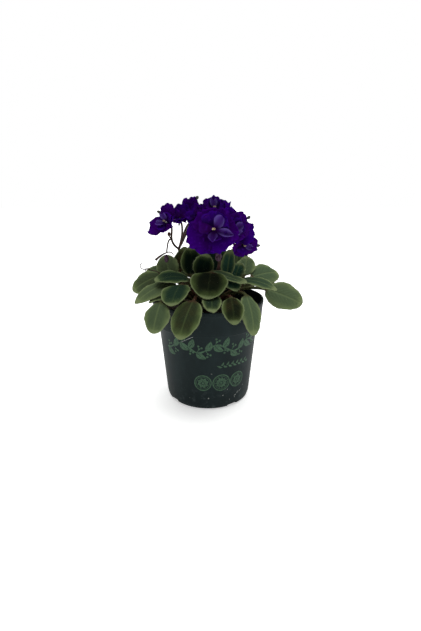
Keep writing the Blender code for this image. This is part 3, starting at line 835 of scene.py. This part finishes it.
# %% Grow hairs
pick = np.random.default_rng(5)
HAIR_SPREAD, HAIR_SINK = .35, .03
EDGE_HAIRS, FACE_HAIRS, PETIOLE_HAIRS, STALK_HAIRS = 240, 220, 140, 1500


def needle():
    ob = added(bpy.ops.mesh.primitive_cone_add, vertices=3, radius1=MM, radius2=0, depth=MM,
               location=(0, 0, MM / 2))
    settle(ob)
    return ob


def hairs_on(ob, chosen, lean, length, thick):
    """Frames for hairs standing on the chosen vertices."""
    at, out = points_of(ob)[chosen], vectors_of(ob, "normal")[chosen]
    aim = unit(out + lean + pick.normal(0, HAIR_SPREAD, out.shape))
    a = unit(np.cross(aim, (.31, .52, .79)))
    b = np.cross(aim, a)
    tall = length * pick.uniform(.55, 1.15, len(chosen))
    frames = zip(at - out * HAIR_SINK, a * thick, b * thick, aim, tall)
    return [(p, (i, j, k * h)) for p, i, j, k, h in frames]


hair_places = []
for node, (ob, s, t) in blades.items():
    forward = leaves[node].along * .35
    on_blade = (t > .02) & (t < .995)
    kinds = ((on_blade & (np.abs(s) > .995), EDGE_HAIRS, 1, .8, .032),
             (on_blade & (np.abs(s) < .97), FACE_HAIRS, 1.5, .6, .028),
             (t <= .02, PETIOLE_HAIRS, 1, .9, .032))
    for where, count, lean, length, thick in kinds:
        chosen = pick.choice(np.flatnonzero(where), count)
        hair_places += hairs_on(ob, chosen, forward * lean, length, thick)
leaf_hairs = scatter("leaf_hairs", needle(), hair_places)
print(len(hair_places), "leaf hairs")


# %% Hair finish
def pale_hair(name, colour):
    return mottled(name, colour, (.34, .37, .28), (3,), .3, .9, Roughness=.7, Specular_IOR_Level=.3)


finished(leaf_hairs, pale_hair("leaf_down", (.16, .19, .10)))

# %% [markdown]
# ## The short stem
# All leaves and stalks rise from one stubby stem, hidden in the middle and knobbly with old leaf scars.

# %% Stem
crown_rings = [(4.6, 58), (6, 60), (6, 73)] + [(6, z) for z in range(75, 93, 2)] + [(5.4, 94), (4, 95)]
crown = rings_up("short_stem", crown_rings, 36)
knobs = points_of(crown)
for i, p in enumerate(knobs):
    knobs[i, :2] *= 1 + .05 * noise.noise(Vector(p) / 2.2)
move_points(crown, knobs)


def stem_brown(name, green_share):
    f = Finish(name, Roughness=.55, Specular_IOR_Level=.2, Sheen_Weight=.1, Sheen_Roughness=.4)
    red = f.mix(rgb(.018, .007, .006), rgb(.06, .02, .015), f.cloud(3, 3).over(.35, .65))
    f.colour(f.mix(red, rgb(.05, .05, .02), f.cloud(9, 2).over(.35, .75) * green_share))
    f.relief(f.cloud(.5, 3), .08)
    return f


finished(crown, stem_brown("stem_skin", .8), ["crown"])

# %% [markdown]
# ## Blooms
# Each bloom has five broad lobes joined at a small throat. They are semi-double: shorter frills stand
# up inside the lobes, and in some a few narrow petals curl over the middle. A lobe is a thin waved
# sheet: a flat grid rolled out from the throat, cupped, with its margin ruffled and one side tucked
# under the next. Ripples are measured in millimetres, so a large lobe has more of them.

# %% Where the blooms are, in millimetres and degrees
# throat, facing, cup, ruffle; lobes (bearing, length, half width);
# frills inside the lobes and narrow inner petals (bearing, length, half width, rise)
BLOOMS = {
    "front": (
        (4.6, -25, 140.7), (-.12, -.95, .27), .05, 1.3,
        ((210, 21.5, 13), (290, 17.5, 13), (342, 18.5, 10), (58, 16, 10), (132, 16.5, 11)),
        ((98, 12.5, 8, 3.2), (150, 11.5, 7, 2.6), (48, 12, 7.5, 3), (12, 10.5, 6.5, 3.4),
         (318, 9, 6, 2.4)),
        ((50, 10.5, 4, 5), (342, 15, 2.8, 4), (268, 9.5, 3.4, 4.5))),
    "top": (
        (5, 1.5, 153), (.05, -.6, .8), .15, 1.2,
        ((90, 13.5, 7.5), (28, 14, 7.5), (155, 10, 6), (235, 8, 5), (310, 9, 6)),
        ((62, 10, 6.5, 2.8), (118, 10, 6.5, 3), (180, 6.5, 5, 2.6), (350, 7, 5, 2.4),
         (92, 7, 4.5, 4.2)),
        ((100, 6, 3, 4),)),
    "middle": (
        (-7.3, 3.4, 148), (-.35, -.65, .67), .3, 1,
        ((114, 11, 6.5), (172, 6.8, 5.2), (238, 9.5, 6.5), (310, 7, 4), (30, 6, 4.5)),
        ((75, 7.5, 5, 2.4), (140, 6, 4.6, 2.2), (185, 10, 4.6, 1.8), (350, 5, 4, 2),
         (100, 4.5, 3, 3.4)),
        ()),
    "right": (
        (18.2, -9.5, 138.2), (.4, -.78, .45), .05, 1.3,
        ((350, 20, 10), (38, 18.5, 10), (84, 18.5, 10), (150, 10, 6), (288, 10, 8)),
        ((8, 13.5, 8, 3), (58, 13, 8, 3.2), (110, 9.5, 6.5, 2.8), (310, 10, 6.5, 2.6),
         (30, 9, 6, 4.6)),
        ((20, 8, 3, 4), (300, 6, 3, 4))),
    "low": (
        (27, -2, 127.3), (.5, -.75, -.35), .1, 1,
        ((342, 16, 8), (285, 11, 7), (40, 8, 5.5), (230, 10, 7), (130, 7, 5)),
        ((335, 10, 6, 2.2), (20, 9, 5.5, 2.6), (265, 7, 5, 2), (90, 5, 4, 2)),
        ((350, 6, 2.6, 3.5),)),
    "left": (
        (-32.2, 4, 143.2), (-.6, -.6, .5), .2, .8,
        ((106, 16, 7.5), (155, 10, 6), (206, 18, 9), (280, 9, 7.5), (345, 9, 6.5)),
        ((120, 8, 5, 2), (180, 7.5, 5, 2.2), (245, 8.5, 5.5, 1.8), (55, 7, 5, 2)),
        ((120, 6, 2.6, 4), (215, 7, 2.8, 4))),
    "back_left": (
        (-22.3, 10.5, 146), (-.2, -.6, .77), .4, .9,
        ((90, 13, 7), (152, 7.5, 5.5), (236, 7, 5.2), (308, 6.5, 5), (20, 7, 6)),
        ((120, 7.5, 5, 2), (50, 7, 5, 2), (270, 5, 4, 1.6)),
        ()),
    "back": (
        (-14, 25, 149.6), (.1, .55, .8), .5, 1,
        ((95, 14, 7), (162, 9, 6), (234, 9, 6), (306, 9, 6), (25, 8.5, 5.5)),
        ((125, 8, 5.5, 2.2), (60, 8, 5.5, 2), (200, 6, 5, 2)),
        ()),
}
THROAT_R = 1.0
PETAL_ACROSS, PETAL_ALONG = 26, 22
PETAL_THICK = .3
TUCK = .5                           # how far one side of a lobe lies under the next
BROAD_AT = .58                      # share of its length at which a lobe stops widening
END_ROUND, END_DROP = .87, .16      # how far a lobe narrows at its end, and its corners fall back
LONG_RIPPLE, SHORT_RIPPLE = 6.5, 2.9
LONG_SCALLOP, SHORT_SCALLOP = .036, .004
CREASE, CREASE_HALF, CREASED_OVER = .35, .12, 7     # only lobes longer than this are creased


def face_axes(facing):
    face = unit(facing)
    right = unit(np.cross(UP, face))
    return face, right, np.cross(face, right)


def petal(throat, facing, bearing, length, half_width, cup, ruffle, rise=0, lift=0, pale=0,
          channel=0, faded=0):
    """One lobe rolled out from the throat: s runs from side to side, t from the throat outward."""
    ob, flat = flat_grid(PETAL_ACROSS, PETAL_ALONG)
    s, t = flat[:, 0], (flat[:, 1] + 1) / 2
    face, right, up = face_axes(facing)
    a = math.radians(bearing)
    out = math.cos(a) * right + math.sin(a) * up
    across = -math.sin(a) * right + math.cos(a) * up
    swell = .25 + .75 * np.sin(np.pi / 2 * np.minimum(t / BROAD_AT, 1))
    rounded = np.sqrt(1 - (np.clip((t - BROAD_AT) / (1 - BROAD_AT), 0, 1) * END_ROUND)**2)
    edge = np.maximum(t, np.abs(s) * np.minimum(1.5 * t, 1))
    along_edge = s * half_width + np.abs(s) * (1 - t) * length
    long_wave = 2 * np.pi * along_edge / LONG_RIPPLE + bearing
    fine = np.sin(2 * np.pi * along_edge / SHORT_RIPPLE + 2 * bearing)
    scallop = 1 + LONG_SCALLOP * edge**3 * np.cos(long_wave * .7) + SHORT_SCALLOP * edge**6 * fine
    wide = half_width * swell * rounded * scallop
    r = THROAT_R + (length - THROAT_R) * t * (1 - END_DROP * s * s * t) * scallop
    depth = lift + rise * t + cup * length * t * t * (.6 + .4 * s * s) + TUCK * s * t
    depth += ruffle * (t * t * np.sin(2.6 * s + bearing) + .5 * edge**3 * np.sin(long_wave))
    depth += ruffle * .07 * edge**5 * fine
    depth += channel * half_width * s * s * np.minimum(2 * t, 1)
    depth -= CREASE * np.exp(-(s / CREASE_HALF)**2) * t * (1 - t) * (length > CREASED_OVER)
    places = throat + out * r[:, None] + across * (wide * s)[:, None] + face * depth[:, None]
    move_points(ob, places)
    mark(ob, out=t, across=s, pale=pale, faded=faded, hue=(math.sin(bearing * 7.3) + 1) / 2)
    return ob


# %% Roll out the lobes and join each bloom
LOBE_STEP = .25     # every other lobe is this much in front
FRILL = {"cup": .12, "ruffle": 1.15, "lift": .3, "pale": .04}
INNER = {"cup": .1, "ruffle": .4, "lift": .4, "channel": .6}
INNER_PALE = (.75, .9, .4)
TIP = {"half_width": 1.2, "cup": 0, "ruffle": .2, "faded": 1}
FRONTAL = (0, -1, .2)
# withered tips of spent petals at the backs of the blooms: foot, bearing, length
WITHERED = {
    "back": (((-11.2, 13.5, 159.8), 35, 4.6),),
    "low": (((36.4, 6, 124.4), 10, 5.4),),
    "right": (((29.2, 1.5, 145.6), 35, 4.4), ((31.6, .5, 140), 32, 4.6)),
    "left": (((-34.6, 4, 149.6), 155, 5.6),),
}


def bloom_piece(name):
    throat, facing, cup, ruffle, lobes, frills, inner = BLOOMS[name]
    throat = np.array(throat, float)
    sheets = [petal(throat, facing, *lobe, cup, ruffle, lift=LOBE_STEP * (i % 2))
              for i, lobe in enumerate(lobes)]
    for *size, rise in frills:
        sheets.append(petal(throat, facing, *size, rise=rise, **FRILL))
    for (*size, rise), pale in zip(inner, INNER_PALE):
        sheets.append(petal(throat, facing, *size, rise=rise, pale=pale, **INNER))
    for foot, *size in WITHERED.get(name, ()):
        sheets.append(petal(np.array(foot, float), FRONTAL, *size, **TIP))
    ob = joined("bloom_" + name, sheets)
    use_modifier(ob, "SOLIDIFY", thickness=PETAL_THICK * MM, offset=0)
    return ob


blooms = {name: bloom_piece(name) for name in BLOOMS}
print(len(blooms), "blooms,", sum(len(b.data.polygons) for b in blooms.values()), "faces")


# %% [markdown]
# ### Petal finish
# The petals are a saturated violet, painted darker towards the throat as shade, with fine veins fanning
# outward. Some lobes are redder. The narrow inner petals are lavender, palest at their sides, and the
# withered tips are grey.

# %% Petal violet
def petal_violet():
    f = Finish("petal_violet", Roughness=.6, Specular_IOR_Level=0)
    out, across, pale, hue = f.read("out"), f.read("across"), f.read("pale"), f.read("hue")
    # painted shade: each lobe darkens towards the throat
    colour = f.mix(rgb(.0035, .0003, .018), rgb(.031, .0004, .175), out.over(.2, 1))
    colour = f.mix(colour, rgb(.038, .001, .085), hue * .6)
    fan = (across * 34 + f.cloud(3) * 3).sine().size()
    colour = f.mix(colour, rgb(.010, .0005, .045), (1 - fan.over(0, .3)) * (1 - out) * .6)
    colour = f.mix(colour, rgb(.055, .006, .22), f.cloud(2.4, 3).over(.5, .8) * .6)
    lavender = f.mix(rgb(.052, .018, .155), rgb(.105, .065, .27), across.size().over(.2, 1))
    colour = f.mix(colour, lavender, pale * out.over(.05, .45))
    f.colour(f.mix(colour, rgb(.10, .10, .085), f.read("faded") * out.over(.2, .7)))
    f.relief(f.cloud(.35, 2) + fan * .3, .06)
    return f


violet = petal_violet()
for name, ob in blooms.items():
    finished(ob, violet, ["corolla_" + name])

# %% [markdown]
# ### Anthers
# Two plump cream pollen sacs sit side by side in the throat on a short filament. A sac is a ball drawn
# long, with a furrow pressed into its front. The sacs of every bloom but the front one are painted dark
# as shade.

# %% Pollen sacs and filaments
HUB_FRONT, GAP = .9, .3
SAC_R, SAC_L, SAC_FORWARD, SAC_ASIDE = .68, 1.8, 1.9, .55
FURROW, FURROW_HALF = .35, .3
ANTHERS = ("front", "right", "top", "left", "low")


def tube(path, radii, sides=3, spread=14):
    """A tapering round stem along four Bezier points, as a bevelled curve made a mesh."""
    ob = added(bpy.ops.curve.primitive_bezier_curve_add)
    curve = ob.data
    curve.bevel_depth = MM
    curve.bevel_resolution = sides
    curve.resolution_u = spread
    curve.use_fill_caps = True
    a, b, c, d = (Vector(p) * MM for p in path)
    ends = curve.splines[0].bezier_points
    for point, at, before, after, radius in ((ends[0], a, a + a - b, b, radii[0]),
                                             (ends[1], d, c, d + d - c, radii[1])):
        point.handle_left_type = point.handle_right_type = "FREE"
        point.co, point.handle_left, point.handle_right, point.radius = at, before, after, radius
    only(ob)
    ob = added(bpy.ops.object.convert, target="MESH")
    settle(ob)
    bpy.ops.object.mode_set(mode="EDIT")
    bpy.ops.mesh.select_all(action="SELECT")
    bpy.ops.mesh.remove_doubles(threshold=.000001)
    end_edit()
    return ob


def ball(centre, along, radius, length, segments=20, rings=14):
    """A sphere stretched along one direction."""
    turn = Vector(unit(along)).to_track_quat("Z", "Y")
    ob = added(bpy.ops.mesh.primitive_uv_sphere_add, segments=segments, ring_count=rings, radius=1,
               location=Vector(centre) * MM, rotation=turn.to_euler())
    ob.scale = (radius * MM, radius * MM, length / 2 * MM)
    settle(ob)
    return ob


def anther_piece(name):
    throat, facing = (np.array(v, float) for v in BLOOMS[name][:2])
    face, right, up = face_axes(facing)
    foot = throat + face * (HUB_FRONT + GAP)
    parts = [tube((foot, foot + face * .6, foot + face * 1.2, foot + face * SAC_FORWARD), (.45, .35))]
    for side in (-1, 1):
        middle = foot + face * SAC_FORWARD + right * side * SAC_ASIDE
        sac = ball(middle, up, SAC_R, SAC_L)
        shape = points_of(sac)
        aside, front = (shape - middle) @ right, (shape - middle) @ face
        shape -= face * (FURROW * np.exp(-(aside / FURROW_HALF)**2) * (front > 0))[:, None]
        move_points(sac, shape)
        parts.append(sac)
    ob = joined("pollen_sacs_" + name, parts)
    # painted shade: the sacs of every bloom but the front one are darkened
    mark(ob, ripe=1 if name == "front" else .25)
    return ob


def anther_yellow():
    f = Finish("anther_yellow", Roughness=.6)
    cream = f.mix(rgb(.30, .19, .08), rgb(.60, .50, .30), f.cloud(.8, 3).over(.35, .65))
    # painted shade darkens the cream where the number read here is low
    f.colour(f.mix(rgb(.05, .02, .03), cream, f.read("ripe")))
    f.relief(f.cloud(.25, 2), .05)
    return f


yellow = anther_yellow()
for name in ANTHERS:
    finished(anther_piece(name), yellow, ["anthers_" + name])
print(len(ANTHERS), "pairs of pollen sacs")

# %% [markdown]
# ## Stalks
# Each stalk is a reddish peduncle that forks into thinner pedicels, one to a bloom. A bloom sits in a
# small cup with five pointed sepals. Stems are bevelled curves, tapered by the radius at each end, and
# all are downy.

# %% Where the stalks run
STALKS = {
    "stalk_left": (((-2.5, 2.5, 96.2), (-6, 7, 106), (-21, 27, 104), (-25.3, 28, 119.8)),
                   ("left", "back_left", "back", "middle")),
    "stalk_centre": (((0, -2.8, 96.2), (8, -3, 103), (11, -4, 112), (8, -6, 127)), ("front", "top")),
    "stalk_right": (((3, 1.5, 96.2), (9, 7, 103), (21, 11, 112), (21.5, 7, 122)), ("right", "low")),
}
# middle control points of the pedicels that swing wide before they turn up
BENDS = {
    "left": ((-36, 24, 126.5), (-25.5, 10, 138)),
    "back_left": ((-22, 28, 128), (-20.5, 22, 137)),
    "back": ((-20, 29, 128), (-15.5, 24, 138)),
    "middle": ((-18.5, 25, 131.5), (-20.5, 12, 144)),
}
PEDUNCLE_R = (1.5, 1.2)
PEDICEL_R = (.95, .8)
CALYX = ((-3.8, .9), (-.8, 2.1))    # place along the facing from the throat, and radius, at each end
CALYX_ROOT = 3.3
SEPAL = (5.0, 1.25)             # length and half width
BRACT = (4.0, .9)
DROOP_FROM = .35                # share of the left pedicel at which the shoot leaves it
KNEE = (-33.3, 6, 119.3)        # where the drooping shoot splits in two
DROOP = ((-33, 18, 129.5), (-32.4, 9, 126.5), KNEE)
DRIED_TIP = (KNEE, (-36, 6, 118.5), (-39, 6, 116.5), (-42.4, 6, 113.4))
CURL = (KNEE, (-31.5, 6, 120.4), (-29, 6, 120), (-27.8, 6, 117.6))
SMALL_BUD = ((-31.8, 15, 133), 1.3, 3.6)    # centre, radius, length


def bezier(p, t):
    p = [np.asarray(q, float) for q in p]
    return (1 - t)**3 * p[0] + 3 * (1 - t)**2 * t * p[1] + 3 * (1 - t) * t * t * p[2] + t**3 * p[3]


# %% Sepals, cups and the drooping shoot
def sepal(foot, out, face, length, half):
    """A small pointed blade: a flattened ball drawn out to a tip and bent back."""
    ob, p = round_ball(12, 14)
    t = (p[:, 2] + 1) / 2
    across = np.cross(face, out)
    wide = half * (1 - .55 * t)
    place = foot + out * (length * t)[:, None] + across * (p[:, 0] * wide)[:, None]
    place += face * (p[:, 1] * .42 - .22 * length * t * t + .35 * p[:, 0]**2)[:, None]
    move_points(ob, place)
    return ob


def calyx(throat, facing):
    face, right, up = face_axes(facing)
    (low, r_low), (high, r_high) = CALYX
    a, d = throat + face * low, throat + face * high
    parts = [tube((a, a + face, d - face, d), (r_low, r_high), sides=4)]
    for k in range(5):
        angle = math.radians(54 + 72 * k)
        out = math.cos(angle) * right + math.sin(angle) * up
        parts.append(sepal(throat + out * .8 - face * 2.2, out, face, *SEPAL))
    return parts


def drooping_shoot(start):
    parts = [tube((start, *DROOP), (.7, .55)), tube(DRIED_TIP, (.5, 1.0)), tube(CURL, (.5, .35))]
    centre, radius, length = SMALL_BUD
    parts.append(ball(centre, UP, radius, length))
    low = np.array(centre) - (0, 0, length / 2)
    parts.append(tube((low + (0, 0, .8), low - (0, 0, .6), start + (-.5, -.5, 1.5), start), (.5, .5)))
    return parts


# %% Build the stalks
def stalk_piece(name):
    path, carried = STALKS[name]
    fork = np.array(path[-1], float)
    rise = unit(fork - path[2])
    parts = [tube(path, PEDUNCLE_R, spread=24)]
    for bloom in carried:
        throat, facing = (np.array(v, float) for v in BLOOMS[bloom][:2])
        face = unit(facing)
        end = throat - face * CALYX_ROOT
        reach = np.linalg.norm(end - fork)
        middle = BENDS.get(bloom, (fork + rise * reach * .4, end - face * reach * .35))
        bend = (fork - rise * .6, *middle, end)
        parts.append(tube(bend, PEDICEL_R))
        parts += calyx(throat, facing)
        if bloom == "left":
            parts += drooping_shoot(bezier(bend, DROOP_FROM))
    for side in (-1, 1):
        out = unit(rise + np.array((side, -.4, 0)))
        parts.append(sepal(fork - rise * .5, out, unit(FRONTAL), *BRACT))
    return joined(name + "_skin", parts)


stalk_skin = stem_brown("stalk_skin", .25)
down_places = []
for name in STALKS:
    ob = stalk_piece(name)
    everywhere = np.arange(len(ob.data.vertices))
    down_places += hairs_on(ob, pick.choice(everywhere, STALK_HAIRS), np.zeros(3), .6, .028)
    finished(ob, stalk_skin, [name])
stalk_hairs = scatter("stalk_hairs", needle(), down_places)
finished(stalk_hairs, pale_hair("stalk_down", (.12, .07, .05)))
print(len(STALKS), "stalks,", len(down_places), "hairs")

# %% [markdown]
# ## Spent flowers
# A faded bud hangs from the spent shoot, and a shrivelled mauve flower is left against the middle
# stalk. The petals of both are wrapped round each other, which shows as a few slanting furrows. At the
# left the dry thread of an old flower stalk curls out from under a leaf.

# %% Bud and shrivelled flower
def furled(name, centre, along, radius, length, fold_depth):
    """A ball with slanting furrows."""
    centre = np.array(centre, float)
    ob = ball(centre, along, radius, length, 36, 26)
    shape = points_of(ob) - centre
    turn = np.arctan2(shape[:, 1], shape[:, 0])
    fold = 1 - fold_depth * np.abs(np.sin(2.5 * turn + .35 * shape[:, 2]))
    move_points(ob, centre + shape * np.stack([fold, fold, np.ones_like(fold)], axis=1))
    return joined(name, [ob])


mauve = mottled("faded_mauve", (.028, .010, .022), (.10, .06, .09), (2, 4, .6), .35, .7,
                Roughness=.7, Specular_IOR_Level=.1)
mauve.relief(mauve.cloud(.6, 3), .1)
bud = furled("hanging_bud", (-33.5, 5.3, 114.7), (0, -.1, 1), 1.9, 6.6, .09)
spent = furled("spent_flower", (8, -7.6, 118.5), (-.1, -.2, -1), 2.9, 7.5, .16)
finished(bud, mauve, ["bud"])
finished(spent, mauve)
print("two spent flowers")

# %% Dry thread
THREAD = (((-38, 8, 101), (-43, 7, 105.5), (-47, 6, 105.2), (-51.5, 6, 105.6)),
          ((-51.5, 6, 105.6), (-54.8, 6, 105.8), (-56.8, 6, 109.6), (-53.2, 6, 110.6)),
          ((-47, 6.6, 105.2), (-50, 6, 107.8), (-51.6, 6, 107.2), (-50.6, 6, 103.4)))
thread = joined("dry_thread", [tube(bend, (.34, .34)) for bend in THREAD])
finished(thread, stem_brown("dry_brown", .1))
print("thread", len(thread.data.polygons), "faces")

# %% [markdown]
# ## Stage, light and camera
# The plant stands on a white floor under one very wide, soft sun overhead, so that its upper faces are
# bright and the hollows between the leaves stay dark. The sky that is seen is pure white, and the light
# that it sheds is weaker, which keeps the dark plastic dark.

# %% Stage
floor = added(bpy.ops.mesh.primitive_plane_add, size=6)
floor.name = "floor"
white = Finish("studio_white", Roughness=.9, Specular_IOR_Level=.1, Emission_Color=rgb(1, 1, 1),
               Emission_Strength=.5)
white.colour(rgb(.92, .93, .92))
floor.data.materials.append(white.material)

# %% Light
SKY_SEEN, SKY_SHED = 1.0, .25
SUN_STRENGTH, SUN_WIDTH, SUN_TILT = 3.3, 65, (-14, 6, 0)
world = bpy.data.worlds.new("studio")
bpy.context.scene.world = world
world.use_nodes = True
sky = world.node_tree
seen = sky.nodes["Background"]
shed = sky.nodes.new("ShaderNodeBackground")
for background, strength in ((seen, SKY_SEEN), (shed, SKY_SHED)):
    background.inputs["Color"].default_value = rgb(1, 1, 1)
    background.inputs["Strength"].default_value = strength
rays, either = sky.nodes.new("ShaderNodeLightPath"), sky.nodes.new("ShaderNodeMixShader")
for k, source in enumerate((rays.outputs["Is Camera Ray"], shed.outputs[0], seen.outputs[0])):
    sky.links.new(source, either.inputs[k])
sky.links.new(either.outputs[0], sky.nodes["World Output"].inputs["Surface"])
lamp = added(bpy.ops.object.light_add, type="SUN", rotation=[math.radians(tilt) for tilt in SUN_TILT])
lamp.name = "overhead"
lamp.data.energy = SUN_STRENGTH
lamp.data.angle = math.radians(SUN_WIDTH)

# %% Camera
CAMERA_AT = (.002, -.315, .170)
CAMERA_DOWN = 17.9
CAMERA_LENS = 22.8
camera = added(bpy.ops.object.camera_add, location=CAMERA_AT,
               rotation=(math.radians(90 - CAMERA_DOWN), 0, 0))
camera.data.lens = CAMERA_LENS
camera.data.sensor_width = 36
camera.data.clip_start = .01
bpy.context.scene.camera = camera
bpy.context.scene.view_settings.view_transform = "Standard"
